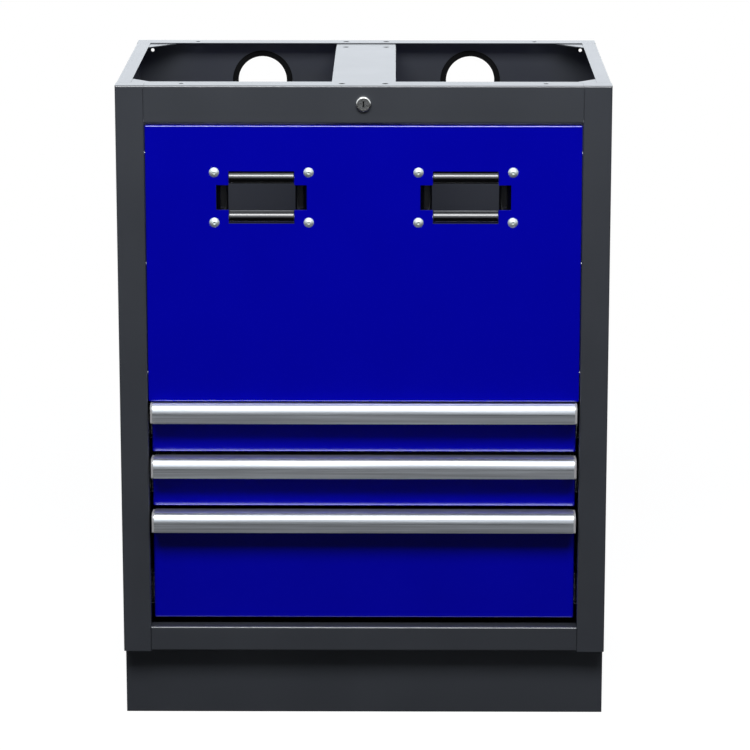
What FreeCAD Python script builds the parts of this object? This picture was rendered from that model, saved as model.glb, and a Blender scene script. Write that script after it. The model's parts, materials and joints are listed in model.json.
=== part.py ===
import FreeCAD, Part
import math
import os

os.makedirs("parts", exist_ok=True)

# An open-topped workshop cabinet for two air hose reels, with three drawers below the reel bay.
# Millimetres. X runs to the right, Y from front to back, Z up. The origin is at the middle of
# the whole cabinet's footprint, on the floor.

# Overall size
cabinet_width = 680.0
cabinet_depth = 458.0
cabinet_height = 910.0
plinth_height = 102.0
plinth_recess = 35.0
plinth_lip = 25.0

# Sheet metal
sheet = 1.2
bend_radius = 1.0
seam = 0.3
outer_radius = bend_radius + sheet

# Carcass
post_width = 39.0
return_depth = 22.0
top_rail_height = 52.0
bottom_rail_height = 36.0
rail_lift = 1.0
front_flange_depth = 38.0
rear_flange_depth = 33.0
side_flange_width = 20.0
post_flange_depth = 30.0
rear_fold_width = 14.0
rear_foot_depth = 20.0
gusset_sheet = 1.5
front_gusset_leg = 33.0
rear_gusset_leg = 38.0
bridge_width = 89.0
bridge_skirt = 24.0
rod_bracket_inset = 80.0
rod_bracket_flange = 24.0
rod_bracket_width = 76.0
rod_bracket_hanger = 24.0

# Holes in the carcass
worktop_hole_radius = 3.4
worktop_hole_spacing = 500.0
front_hole_inset = 20.0
rear_hole_inset = 18.0
wall_hole_radius = 2.5
wall_hole_inset = 21.0
wall_hole_drop = 15.0
joining_hole_radius = 4.2
joining_hole_inset = 96.0
joining_hole_drop = 33.0

# Supply ports and their grommets
port_radius = 36.0
port_inset = 185.0
port_drop = 60.0
grommet_wall = 3.8
grommet_lip = 2.5
grommet_lip_width = 8.5
grommet_fit = 0.2

# Drawer faces, from the bottom of the opening upwards
foot_gap = 7.4
drawer_gap = 6.9
small_face_height = 71.9
large_face_height = 157.4
face_side_gap = 4.0
face_recess = 22.0
face_return = 4.8

# Drawer handles
handle_reach = 35.0
handle_drop = 27.6
handle_wall = 2.4
handle_nose_radius = 10.0
handle_brow_radius = 25.0
handle_brow_angle = 12.0
handle_step = 1.0
handle_step_drop = 13.6
handle_rise = 3.9
handle_top_angle = 5.0
end_cap_width = 3.0

# Slides
slide_height = 45.7
slide_thickness = 12.7
slide_sheet = 1.2
slide_ball_gap = 2.85
slide_web_gap = 2.3
slide_end_gap = 1.5
slide_running_gap = 0.25
slide_level = 39.6
slide_setback = 9.2
slide_backset = 2.0
rear_space = 22.0
cage_width = 5.0
cage_share_of_slide = 0.45

# Slide uprights and studs
upright_width = 35.0
upright_inset = 6.0
upright_sheet = 1.5
stud_radius = 2.5
stud_length = 10.0
stud_nut_width = 8.0
stud_nut_height = 4.0

# Drawer trays
tray_sheet = 1.0
tray_foot = 5.6
tray_head = 8.0
tray_rim = 6.0
tray_rear_setback = 13.0
divider_slot_pitch = 20.0
divider_slot_width = 2.0
divider_slot_margin = 10.0

# Reel front panel
panel_recess = 2.0
panel_return = 18.0
panel_side_gap = 0.9
panel_head_gap = 3.0
panel_foot_gap = 1.2
panel_screw_radius = 2.5
panel_screw_margin = 40.0

# Reel shelf
shelf_sheet = 1.5
shelf_lip = 18.0
reel_inset = 190.0
reel_hole_radius = 4.5
reel_hole_spacing_x = 120.0
reel_hole_spacing_y = 80.0

# Hose guides
guide_inset = 160.5
guide_drop = 100.4
roller_radius = 8.6
roller_length = 90.0
roller_rise = 27.4
roller_reach = 54.7
roller_sink = 5.0
side_roller_sink = 19.0
roller_chamfer = 0.8
axle_radius = 2.5
running_fit = 0.1
window_gap = 0.3
window_head_gap = 0.65
side_slot_reach = 62.5
side_slot_half_height = 17.4
guide_sheet = 2.0
guide_half_width = 76.0
guide_flange_reach = 64.0
guide_ear_half_height = 7.0
guide_ear_gap = 1.2
guide_screw_radius = 3.0
guide_screw_spacing_x = 130.0
guide_screw_spacing_z = 70.0
guide_head_radius = 7.0
guide_head_height = 3.6
guide_nut_width = 10.0
guide_nut_height = 5.0
guide_socket_width = 4.0

# Lock and lock bar
lock_drop = 25.0
lock_reach = 5.5
lock_bezel_radius = 10.5
lock_barrel_radius = 9.0
lock_barrel_length = 22.0
lock_plug_radius = 7.0
lock_plug_recess = 1.0
lock_nut_width = 24.0
lock_nut_height = 4.0
keyway_width = 2.4
keyway_height = 8.4
keyway_depth = 6.0
rod_radius = 4.0
crank_radius = 10.0
crank_sheet = 3.0
crank_pin_radius = 3.0
crank_pin_fit = 0.5
crank_to_bar = 4.8
bar_width = 20.0
bar_thickness = 3.0
bar_back_gap = 1.5
bar_head_half_width = 19.0
bar_head_half_height = 11.0
bar_guide_sheet = 1.5
bar_guide_height = 20.0
bar_guide_wing = 12.0
bar_running_gap = 0.3
tooth_gap = 6.0
tooth_thickness = 3.0
tooth_clearance = 3.0
finger_height = 4.0
finger_half_width = 6.0
catch_sheet = 2.0
catch_level = 43.6
catch_flange = 14.0
catch_clearance = 2.5

# Common fasteners
hole_fit = 0.2
bolt_radius = 4.0
bolt_head_width = 13.0
bolt_head_height = 5.5
bolt_nut_height = 6.5
countersunk_head_radius = 4.2
countersunk_depth = 1.8
countersunk_length = 12.0
countersunk_socket_width = 3.0
countersunk_socket_depth = 1.6
drawer_screw_radius = 2.5
pan_head_radius = 4.6
pan_head_height = 2.6
drawer_screw_inset = 30.0
drawer_screw_drop = 5.0
drawer_screw_bite = 1.6

# Planes that several pieces share
half_width = cabinet_width / 2
front_overhang = max(handle_reach - face_recess, lock_reach)
footprint_depth = front_overhang + cabinet_depth + grommet_lip
front = front_overhang - footprint_depth / 2
rear = front + cabinet_depth
wall = half_width - sheet
rear_wall = rear - sheet
body_base = plinth_height
top = cabinet_height
under_top = top - sheet
opening_half = half_width - post_width
opening_bottom = body_base + bottom_rail_height
opening_top = top - top_rail_height
floor_under = body_base + sheet
floor_top = floor_under + sheet
port_x = half_width - port_inset
reel_x = half_width - reel_inset
guide_x_right = opening_half - guide_inset

# Drawer faces: number, lower edge and height, with drawer 1 at the top
face_half = opening_half - face_side_gap
face_plane = front + face_recess
large_face_bottom = opening_bottom + foot_gap
middle_face_bottom = large_face_bottom + large_face_height + drawer_gap
upper_face_bottom = middle_face_bottom + small_face_height + drawer_gap
drawers = [
    (1, upper_face_bottom, small_face_height),
    (2, middle_face_bottom, small_face_height),
    (3, large_face_bottom, large_face_height),
]
stack_top = upper_face_bottom + small_face_height

# Slides and trays
slide_front = front + max(face_recess + face_return, return_depth) + slide_setback
slide_rear = rear - rear_space
slide_length = slide_rear - slide_front
slide_face = opening_half + slide_backset
tray_half = slide_face - slide_thickness
tray_front = face_plane + sheet
tray_rear = slide_rear - tray_rear_setback
upright_front = slide_front + upright_inset
upright_rear = slide_rear - upright_inset

# Reel front panel and shelf
panel_half = opening_half - panel_side_gap
panel_plane = front + panel_recess
panel_bottom = stack_top + handle_rise + panel_foot_gap
panel_top = opening_top - panel_head_gap
shelf_under = panel_bottom
guide_level = panel_top - guide_drop

# Lock bar: the crank lifts it from the lower to the upper end of its quarter turn
lock_level = top - lock_drop
crank_offset = crank_radius * math.sin(math.pi / 4)
bar_lift = 2 * crank_offset
bar_rear = rear_wall - bar_back_gap
bar_front = bar_rear - bar_thickness
crank_rear = bar_front - crank_to_bar
crank_front = crank_rear - crank_sheet
tooth_front = tray_rear + tooth_gap
tooth_rear = tooth_front + tooth_thickness
tongue_front = tooth_rear + tooth_clearance
tongue_length = bar_lift - tooth_clearance + catch_clearance


def vec(x, y, z):
    return FreeCAD.Vector(x, y, z)


def box(x0, x1, y0, y1, z0, z1):
    return Part.makeBox(x1 - x0, y1 - y0, z1 - z0, vec(x0, y0, z0))


def round_x(x0, x1, y, z, radius):
    """A round bar along X."""
    return Part.makeCylinder(radius, x1 - x0, vec(x0, y, z), vec(1, 0, 0))


def round_y(x, y0, y1, z, radius):
    """A round bar along Y."""
    return Part.makeCylinder(radius, y1 - y0, vec(x, y0, z), vec(0, 1, 0))


def round_z(x, y, z0, z1, radius):
    """A round bar along Z."""
    return Part.makeCylinder(radius, z1 - z0, vec(x, y, z0), vec(0, 0, 1))


def join(pieces):
    """One solid from pieces that share faces."""
    return pieces[0].fuse(pieces[1:]).removeSplitter()


def mirrored(shape):
    """The same shape on the other side of the cabinet's middle plane."""
    return shape.mirror(vec(0, 0, 0), vec(1, 0, 0))


def both_sides(shape):
    return [mirrored(shape), shape]


def save(node, shapes):
    """Writes the node's solids to its file."""
    Part.makeCompound(shapes).exportStep(f"parts/{node}.step")


def bend(corner, heading_in, heading_out, radius):
    """Start, middle and end of the arc that rounds a corner of a path."""
    half_turn = heading_in.getAngle(heading_out) / 2
    tangent = radius * math.tan(half_turn)
    towards_centre = (heading_out - heading_in).normalize()
    middle = corner + towards_centre * (radius / math.cos(half_turn) - radius)
    return corner - heading_in * tangent, middle, corner + heading_out * tangent


def bent_edges(corners, headings, radii):
    """Lines and arcs along a path, rounded at each inner corner."""
    edges = []
    last = corners[0]
    for corner, heading_in, heading_out, radius in zip(corners[1:], headings, headings[1:], radii):
        start, middle, end = bend(corner, heading_in, heading_out, radius)
        edges.append(Part.LineSegment(last, start).toShape())
        edges.append(Part.Arc(start, middle, end).toShape())
        last = end
    edges.append(Part.LineSegment(last, corners[-1]).toShape())
    return edges


def sheet_face(points, thickness, radius):
    """End-on face of a bent sheet. The points follow one side, and the sheet lies to their left."""
    near = [vec(u, v, 0) for u, v in points]
    headings = [(b - a).normalize() for a, b in zip(near, near[1:])]
    lefts = [vec(-heading.y, heading.x, 0) for heading in headings]
    near_radii = []
    far_radii = []
    far = [near[0] + lefts[0] * thickness]
    turns = zip(near[1:], headings, headings[1:], lefts, lefts[1:])
    for corner, before, after, left_in, left_out in turns:
        turns_left = before.cross(after).z > 0
        near_radii.append(radius + thickness if turns_left else radius)
        far_radii.append(radius if turns_left else radius + thickness)
        far.append(corner + (left_in + left_out) * (thickness / (1 + before.dot(after))))
    far.append(near[-1] + lefts[-1] * thickness)
    outline = bent_edges(near, headings, near_radii)
    outline.append(Part.LineSegment(near[-1], far[-1]).toShape())
    outline.extend(reversed(bent_edges(far, headings, far_radii)))
    outline.append(Part.LineSegment(far[0], near[0]).toShape())
    return Part.Face(Part.Wire(outline))


def sheet_x(points, x0, x1, thickness=sheet, radius=bend_radius):
    """A bent sheet along X, from (y, z) points."""
    face = sheet_face(points, thickness, radius)
    turn = FreeCAD.Rotation(vec(0, 1, 0), vec(0, 0, 1), vec(1, 0, 0))
    face.Placement = FreeCAD.Placement(vec(x0, 0, 0), turn)
    return face.extrude(vec(x1 - x0, 0, 0))


def sheet_y(points, y0, y1, thickness=sheet, radius=bend_radius):
    """A bent sheet along Y, from (x, z) points."""
    face = sheet_face(points, thickness, radius)
    turn = FreeCAD.Rotation(vec(1, 0, 0), vec(0, 0, 1), vec(0, -1, 0))
    face.Placement = FreeCAD.Placement(vec(0, y0, 0), turn)
    return face.extrude(vec(0, y1 - y0, 0))


def sheet_z(points, z0, z1, thickness=sheet, radius=bend_radius):
    """A bent sheet along Z, from (x, y) points."""
    face = sheet_face(points, thickness, radius)
    face.translate(vec(0, 0, z0))
    return face.extrude(vec(0, 0, z1 - z0))


def rounded_box(half, y0, y1, z0, z1, radius):
    """A box with every edge rounded but those of its rear face."""
    block = box(-half, half, y0, y1, z0, z1)
    edges = [edge for edge in block.Edges if min(v.Y for v in edge.Vertexes) < y1 - radius / 2]
    return block.makeFillet(radius, edges)


def pan(half, y_face, depth, z0, z1):
    """A folded sheet front: a face with a return on each of its four sides."""
    outer = rounded_box(half, y_face, y_face + depth, z0, z1, outer_radius)
    y0 = y_face + sheet
    inner = rounded_box(half - sheet, y0, y0 + depth, z0 + sheet, z1 - sheet, bend_radius)
    return outer.cut(inner)


def hexagon(width):
    """Corners of a hexagon of a given width across flats."""
    corner = width / math.sqrt(3)
    angles = [math.radians(60 * k) for k in range(6)]
    return [(corner * math.cos(angle), corner * math.sin(angle)) for angle in angles]


def hexagon_y(x, y0, y1, z, width):
    """A hexagonal bar along Y."""
    corners = [vec(x + u, y0, z + v) for u, v in hexagon(width)]
    return Part.Face(Part.makePolygon(corners + corners[:1])).extrude(vec(0, y1 - y0, 0))


def hexagon_z(x, y, z0, z1, width):
    """A hexagonal bar along Z."""
    corners = [vec(x + u, y + v, z0) for u, v in hexagon(width)]
    return Part.Face(Part.makePolygon(corners + corners[:1])).extrude(vec(0, 0, z1 - z0))


def hexagon_x(x0, x1, y, z, width):
    """A hexagonal bar along X."""
    corners = [vec(x0, y + u, z + v) for u, v in hexagon(width)]
    return Part.Face(Part.makePolygon(corners + corners[:1])).extrude(vec(x1 - x0, 0, 0))


def side_panel():
    """Right side panel: front post, side wall, rear fold and the top and bottom flanges."""
    plan = [
        (opening_half, front + return_depth),
        (opening_half, front),
        (half_width, front),
        (half_width, rear_wall),
        (half_width - rear_fold_width, rear_wall),
    ]
    reach = outer_radius + sheet
    panel = sheet_z(plan, body_base, under_top)
    corner_block = panel.common(box(0, half_width, front, rear, under_top - reach, under_top))
    flange_front = front + post_flange_depth + seam
    flange_rear = rear - rear_flange_depth - seam
    relief = 2 * sheet + bend_radius + seam
    low = under_top - reach
    outside = half_width + seam
    bend_start = wall - bend_radius
    return_rear = front + return_depth
    return_top = under_top - gusset_sheet - seam - bend_radius
    panel = panel.cut([
        box(opening_half - seam, wall, front - seam, front + outer_radius, low, top),
        box(bend_start, outside, flange_front, flange_rear, low, top),
        box(bend_start, outside, return_rear, rear_wall, body_base, body_base + reach),
        box(
            opening_half - seam, opening_half + outer_radius, front + sheet, return_rear + seam,
            return_top, top
        ),
    ])
    side_flange = sheet_y(
        [
            (half_width, under_top - reach),
            (half_width, top),
            (half_width - side_flange_width, top),
        ],
        flange_front,
        flange_rear,
    )
    post_flange = sheet_x(
        [
            (front + post_flange_depth, top),
            (front, top),
            (front, under_top - reach),
        ],
        opening_half,
        half_width,
    )
    plan_corner = box(opening_half, half_width, front, front + post_flange_depth, under_top - reach, top)
    upright_edges = [
        edge for edge in plan_corner.Edges
        if all(abs(v.X - half_width) < seam and abs(v.Y - front) < seam for v in edge.Vertexes)
    ]
    post_flange = post_flange.common(plan_corner.makeFillet(outer_radius, upright_edges))
    foot_flange = sheet_y(
        [
            (half_width - side_flange_width, body_base),
            (half_width, body_base),
            (half_width, body_base + reach),
        ],
        front + return_depth,
        rear_wall,
    )
    panel = join([panel, side_flange, post_flange, foot_flange])
    cuts = [
        box(opening_half, outside, rear - relief, rear, body_base - seam, body_base + relief - sheet),
        box(opening_half, outside, rear - relief, rear, top - relief + sheet, top + seam),
    ]
    joining_z = top - joining_hole_drop
    for y in (front + joining_hole_inset, rear - joining_hole_inset):
        cuts.append(round_x(wall - sheet, half_width + sheet, y, joining_z, joining_hole_radius))
    cuts.extend(plinth_bolt_holes())
    return panel.cut(cuts)


def countersunk_screw(x, y, level, growth=0.0):
    """A countersunk screw, flush with the sheet whose upper face is at a level, or the hole for it."""
    cone_radius = countersunk_head_radius + growth
    shank_radius = drawer_screw_radius + growth
    cone_base = level - countersunk_depth
    cone = Part.makeCone(shank_radius, cone_radius, countersunk_depth, vec(x, y, cone_base))
    shank = round_z(x, y, level - countersunk_length, cone_base, shank_radius)
    return join([cone, shank])


bridge_screw_x = bridge_width / 3
bracket_front = rear - rod_bracket_inset
bridge_screw_spots = [
    (x, y)
    for x in (-bridge_screw_x, bridge_screw_x)
    for y in (front + front_hole_inset, rear - rear_hole_inset)
]
bracket_screw_spots = [
    (x, bracket_front + rod_bracket_flange / 2)
    for x in (-bridge_screw_x, bridge_screw_x)
]


def bridge_screw_holes():
    holes = [countersunk_screw(x, y, top, hole_fit) for x, y in bridge_screw_spots]
    holes.extend(countersunk_screw(x, y, under_top, hole_fit) for x, y in bracket_screw_spots)
    return holes


def worktop_holes(y):
    half_spacing = worktop_hole_spacing / 2
    return [
        round_z(x, y, under_top - sheet, top + sheet, worktop_hole_radius)
        for x in (-half_spacing, half_spacing)
    ]


def top_front_rail():
    rail = sheet_x(
        [
            (front + front_flange_depth, top),
            (front, top),
            (front, opening_top),
            (front + return_depth, opening_top),
        ],
        seam - opening_half,
        opening_half - seam,
    )
    holes = worktop_holes(front + front_hole_inset) + bridge_screw_holes()
    holes.append(round_y(0, front - sheet, front + 2 * sheet, lock_level, lock_barrel_radius + hole_fit))
    return rail.cut(holes)


def bottom_front_rail():
    return sheet_x(
        [
            (front + return_depth, opening_bottom),
            (front, opening_bottom),
            (front, body_base + rail_lift),
            (front + return_depth - 2 * sheet - seam, body_base + rail_lift),
        ],
        seam - opening_half,
        opening_half - seam,
    )


def base_panel():
    """Cabinet floor, turned up behind the bottom front rail."""
    panel = sheet_x(
        [
            (front + return_depth - 2 * sheet, opening_bottom - sheet),
            (front + return_depth - 2 * sheet, floor_under),
            (rear_wall - sheet - seam, floor_under),
        ],
        bend_radius - wall,
        wall - bend_radius,
    )
    post_notch = box(
        opening_half - seam, half_width, front, front + return_depth + seam, body_base, opening_bottom
    )
    return panel.cut(both_sides(post_notch) + plinth_bolt_holes())


def rear_panel():
    panel = sheet_x(
        [
            (rear - rear_foot_depth, body_base),
            (rear, body_base),
            (rear, top),
            (rear - rear_flange_depth, top),
        ],
        seam - half_width,
        half_width - seam,
    )
    foot_end = box(
        half_width - side_flange_width - seam,
        half_width,
        rear - rear_foot_depth - seam,
        rear_wall - bend_radius,
        body_base - seam,
        floor_under + seam,
    )
    cuts = both_sides(foot_end)
    cuts.extend(worktop_holes(rear - rear_hole_inset))
    cuts.extend(bridge_screw_holes())
    port_hole_radius = port_radius + grommet_wall + grommet_fit
    for x in (-port_x, port_x):
        cuts.append(round_y(x, rear_wall - sheet, rear + sheet, top - port_drop, port_hole_radius))
    for x in (wall_hole_inset - half_width, half_width - wall_hole_inset):
        cuts.append(round_y(x, rear_wall - sheet, rear + sheet, top - wall_hole_drop, wall_hole_radius))
    return panel.cut(cuts)


def gusset(near_y, flange_y, leg):
    """Right corner plate under the top flanges, from its edge beside the front or rear sheet."""
    outer_x = wall - bend_radius - seam
    inner_x = half_width - side_flange_width
    away = 1 if flange_y > near_y else -1
    corners = [
        vec(outer_x, near_y, under_top),
        vec(outer_x, flange_y + away * leg, under_top),
        vec(inner_x, flange_y + away * leg, under_top),
        vec(inner_x - leg, flange_y, under_top),
        vec(inner_x - leg, near_y, under_top),
    ]
    plate = Part.Face(Part.makePolygon(corners + corners[:1]))
    return plate.extrude(vec(0, 0, -gusset_sheet))


def corner_gussets():
    front_gusset = gusset(front + outer_radius + seam, front + front_flange_depth, front_gusset_leg)
    rear_gusset = gusset(rear_wall - sheet - seam, rear - rear_flange_depth, rear_gusset_leg)
    return both_sides(front_gusset) + both_sides(rear_gusset)


def bridge_plate():
    """Channel from the front flange to the rear flange, just under both."""
    half = bridge_width / 2
    plate = sheet_y(
        [
            (half, under_top - bridge_skirt),
            (half, under_top),
            (-half, under_top),
            (-half, under_top - bridge_skirt),
        ],
        front + outer_radius + seam,
        rear - outer_radius - seam,
    )
    return plate.cut(bridge_screw_holes())


def screw_and_nut(x, y, level, nut_top):
    """A countersunk screw and the nut under it."""
    nut_bottom = nut_top - stud_nut_height
    nut = hexagon_z(x, y, nut_bottom, nut_top, stud_nut_width)
    bore = round_z(x, y, nut_bottom - sheet, nut_top + sheet, drawer_screw_radius + running_fit)
    socket = hexagon_z(x, y, level - countersunk_socket_depth, level + seam, countersunk_socket_width)
    return [countersunk_screw(x, y, level).cut(socket), nut.cut(bore)]


def bridge_screws():
    pieces = []
    for x, y in bridge_screw_spots:
        pieces.extend(screw_and_nut(x, y, top, under_top - sheet))
    for x, y in bracket_screw_spots:
        pieces.extend(screw_and_nut(x, y, under_top, under_top - sheet - catch_sheet))
    return pieces


plinth_front_plane = front + plinth_recess
plinth_bolt_spots = [
    (x, y)
    for x in (side_flange_width / 2 - half_width, half_width - side_flange_width / 2)
    for y in (plinth_front_plane + upright_width * 2, rear - upright_width * 3)
]


def plinth_bolt_holes():
    """Holes through the plinth's upper flange, the side panel's lower flange and the base panel."""
    return [
        round_z(x, y, plinth_height - 2 * sheet, floor_top + sheet, bolt_radius + hole_fit)
        for x, y in plinth_bolt_spots
    ]


def plinth_rails():
    """Front and rear rails of the plinth."""
    front_rail = sheet_x(
        [
            (plinth_front_plane + plinth_lip, plinth_height),
            (plinth_front_plane, plinth_height),
            (plinth_front_plane, 0),
            (plinth_front_plane + plinth_lip, 0),
        ],
        -half_width,
        half_width,
    )
    rear_rail = sheet_x(
        [
            (rear - plinth_lip, 0),
            (rear, 0),
            (rear, plinth_height),
            (rear - plinth_lip, plinth_height),
        ],
        -half_width,
        half_width,
    )
    flange_end = box(
        wall - seam, half_width + seam, plinth_front_plane + sheet, rear_wall, -seam, plinth_height + seam
    )
    ends = both_sides(flange_end)
    return [front_rail.cut(ends), rear_rail.cut(ends)]


def plinth_side():
    side = sheet_y(
        [
            (half_width - plinth_lip, 0),
            (half_width, 0),
            (half_width, plinth_height),
            (half_width - plinth_lip, plinth_height),
        ],
        plinth_front_plane + sheet,
        rear_wall,
    )
    low = -seam
    high = plinth_height + seam
    cuts = [
        box(opening_half, wall, plinth_front_plane, plinth_front_plane + plinth_lip + seam, low, high),
        box(opening_half, wall, rear - plinth_lip - seam, rear, low, high),
    ]
    return side.cut(cuts + plinth_bolt_holes())


def plinth_bolts():
    """Bolts from the cabinet floor into the plinth's side rails, with their nuts."""
    pieces = []
    nut_top = plinth_height - sheet
    nut_bottom = nut_top - bolt_nut_height
    for x, y in plinth_bolt_spots:
        head = hexagon_z(x, y, floor_top, floor_top + bolt_head_height, bolt_head_width)
        shank = round_z(x, y, nut_bottom - sheet, floor_top, bolt_radius)
        nut = hexagon_z(x, y, nut_bottom, nut_top, bolt_head_width)
        pieces.append(join([head, shank]))
        pieces.append(nut.cut(round_z(x, y, nut_bottom - sheet, floor_top, bolt_radius + running_fit)))
    return pieces


def reel_shelf():
    """Shelf between the drawers and the reel bay, with a notch for the lock bar."""
    shelf = sheet_x(
        [
            (front + return_depth + seam, shelf_under + shelf_lip),
            (front + return_depth + seam, shelf_under),
            (rear_wall - sheet - seam, shelf_under),
            (rear_wall - sheet - seam, shelf_under + shelf_lip),
        ],
        seam - wall,
        wall - seam,
        shelf_sheet,
    )
    notch_half = bar_width / 2 + bar_guide_wing
    notch_front = bar_front - tooth_clearance
    notch_top = shelf_under + 2 * shelf_lip
    cuts = [box(-notch_half, notch_half, notch_front, rear, shelf_under - seam, notch_top)]
    middle_y = (front + rear) / 2
    for middle_x in (-reel_x, reel_x):
        for x in (middle_x - reel_hole_spacing_x / 2, middle_x + reel_hole_spacing_x / 2):
            for y in (middle_y - reel_hole_spacing_y / 2, middle_y + reel_hole_spacing_y / 2):
                cuts.append(
                    round_z(x, y, shelf_under - seam, shelf_under + 2 * shelf_sheet, reel_hole_radius)
                )
    return shelf.cut(cuts)


guide_spots = [("left", -guide_x_right), ("right", guide_x_right)]
guide_screw_spots = [
    (guide_x + x, guide_level + z)
    for _, guide_x in guide_spots
    for x in (-guide_screw_spacing_x / 2, guide_screw_spacing_x / 2)
    for z in (-guide_screw_spacing_z / 2, guide_screw_spacing_z / 2)
]
panel_inside = panel_plane + sheet
guide_back = panel_inside + guide_sheet
window_half_width = roller_length / 2 + window_gap
window_half_height = roller_rise + roller_radius + window_head_gap
ear_inner = roller_length / 2 + guide_ear_gap
ear_outer = ear_inner + guide_sheet
flange_outer = guide_screw_spacing_z / 2 + guide_nut_width
flange_inner = flange_outer - guide_sheet
flange_rear = panel_plane + side_roller_sink + guide_nut_width

panel_screw_y = panel_plane + panel_return / 2
panel_screw_levels = [
    panel_bottom + panel_screw_margin,
    (panel_bottom + panel_top) / 2,
    panel_top - panel_screw_margin,
]


def window(guide_x, y0, y1, half_width_in, half_height_in, slot_reach, slot_half_height):
    """Plus-shaped hole of a hose guide."""
    return [
        box(guide_x - half_width_in, guide_x + half_width_in, y0, y1,
            guide_level - half_height_in, guide_level + half_height_in),
        box(guide_x - slot_reach, guide_x + slot_reach, y0, y1,
            guide_level - slot_half_height, guide_level + slot_half_height),
    ]


def reel_front_panel():
    panel = pan(panel_half, panel_plane, panel_return, panel_bottom, panel_top)
    cuts = []
    for _, guide_x in guide_spots:
        cuts.extend(window(
            guide_x, panel_plane - sheet, panel_inside + sheet,
            window_half_width, window_half_height, side_slot_reach, side_slot_half_height,
        ))
    for x, z in guide_screw_spots:
        cuts.append(round_y(x, panel_plane - sheet, panel_inside + sheet, z, guide_screw_radius + hole_fit))
    for z in panel_screw_levels:
        cuts.append(round_x(-half_width, half_width, panel_screw_y, z, panel_screw_radius + hole_fit))
    return panel.cut(cuts)


def panel_screws():
    """Screws from inside the panel's side returns into the posts, with their nuts."""
    pieces = []
    inside = panel_half - sheet
    post_back = opening_half + sheet
    for z in panel_screw_levels:
        head = round_x(inside - pan_head_height, inside, panel_screw_y, z, pan_head_radius)
        shank = round_x(inside, post_back + stud_nut_height + sheet, panel_screw_y, z, panel_screw_radius)
        bore = round_x(inside, half_width, panel_screw_y, z, panel_screw_radius + running_fit)
        nut = hexagon_x(post_back, post_back + stud_nut_height, panel_screw_y, z, stud_nut_width)
        pieces.extend(both_sides(join([head, shank])))
        pieces.extend(both_sides(nut.cut(bore)))
    return pieces


def post_screw_holes():
    """Holes for the panel screws in the right post's inner return."""
    hole_radius = panel_screw_radius + hole_fit
    return [
        round_x(opening_half - sheet, opening_half + 2 * sheet, panel_screw_y, z, hole_radius)
        for z in panel_screw_levels
    ]


def guide_frame(guide_x):
    """Channel behind the panel that carries a guide's four rollers."""
    left = guide_x - guide_flange_reach
    right = guide_x + guide_flange_reach
    channel = sheet_x(
        [
            (flange_rear, guide_level + flange_outer),
            (panel_inside, guide_level + flange_outer),
            (panel_inside, guide_level - flange_outer),
            (flange_rear, guide_level - flange_outer),
        ],
        left,
        right,
        guide_sheet,
    )
    plate = box(
        guide_x - guide_half_width,
        guide_x + guide_half_width,
        panel_inside,
        guide_back,
        guide_level - flange_inner + bend_radius,
        guide_level + flange_inner - bend_radius,
    )
    frame = join([channel, plate])
    frame = frame.cut(window(
        guide_x, panel_inside - sheet, guide_back + sheet,
        ear_outer, window_half_height + window_head_gap,
        roller_reach + roller_radius + window_head_gap, side_slot_half_height + window_gap,
    ))
    roller_y = panel_plane + roller_sink
    side_y = panel_plane + side_roller_sink
    ears = []
    holes = []
    ear_spans = [
        (guide_x - ear_outer, guide_x - ear_inner),
        (guide_x + ear_inner, guide_x + ear_outer),
    ]
    for z in (guide_level - roller_rise, guide_level + roller_rise):
        for x0, x1 in ear_spans:
            ears.append(box(
                x0, x1, panel_inside, roller_y + 2 * axle_radius,
                z - guide_ear_half_height, z + guide_ear_half_height,
            ))
        holes.append(round_x(guide_x - guide_half_width, guide_x + guide_half_width, roller_y, z,
                             axle_radius + running_fit))
    frame = join([frame] + ears)
    for x in (guide_x - roller_reach, guide_x + roller_reach):
        holes.append(round_z(x, side_y, guide_level - 2 * flange_outer, guide_level + 2 * flange_outer,
                             axle_radius + running_fit))
    for x, z in guide_screw_spots:
        holes.append(round_y(x, panel_inside - sheet, guide_back + sheet, z, guide_screw_radius + hole_fit))
    return frame.cut(holes)


def guide_axles(guide_x):
    roller_y = panel_plane + roller_sink
    side_y = panel_plane + side_roller_sink
    axles = [
        round_x(guide_x - ear_outer, guide_x + ear_outer, roller_y, z, axle_radius)
        for z in (guide_level - roller_rise, guide_level + roller_rise)
    ]
    axles.extend(
        round_z(x, side_y, guide_level - flange_outer, guide_level + flange_outer, axle_radius)
        for x in (guide_x - roller_reach, guide_x + roller_reach)
    )
    return axles


def roller(start, direction, length):
    """A plain roller with chamfered ends and a bore that runs on its axle."""
    body = Part.makeCylinder(roller_radius, length, start, direction)
    rims = [edge for edge in body.Edges if len(edge.Vertexes) == 1]
    body = body.makeChamfer(roller_chamfer, rims)
    return body.cut(Part.makeCylinder(axle_radius + running_fit, length, start, direction))


def guide_rollers(guide_x):
    """The four rollers of a hose guide, each with its place in the window."""
    roller_y = panel_plane + roller_sink
    side_y = panel_plane + side_roller_sink
    side_length = 2 * (flange_inner - window_gap)
    left_end = guide_x - roller_length / 2
    low_end = guide_level - side_length / 2
    return {
        "top": roller(vec(left_end, roller_y, guide_level + roller_rise), vec(1, 0, 0), roller_length),
        "bottom": roller(vec(left_end, roller_y, guide_level - roller_rise), vec(1, 0, 0), roller_length),
        "left": roller(vec(guide_x - roller_reach, side_y, low_end), vec(0, 0, 1), side_length),
        "right": roller(vec(guide_x + roller_reach, side_y, low_end), vec(0, 0, 1), side_length),
    }


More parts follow.
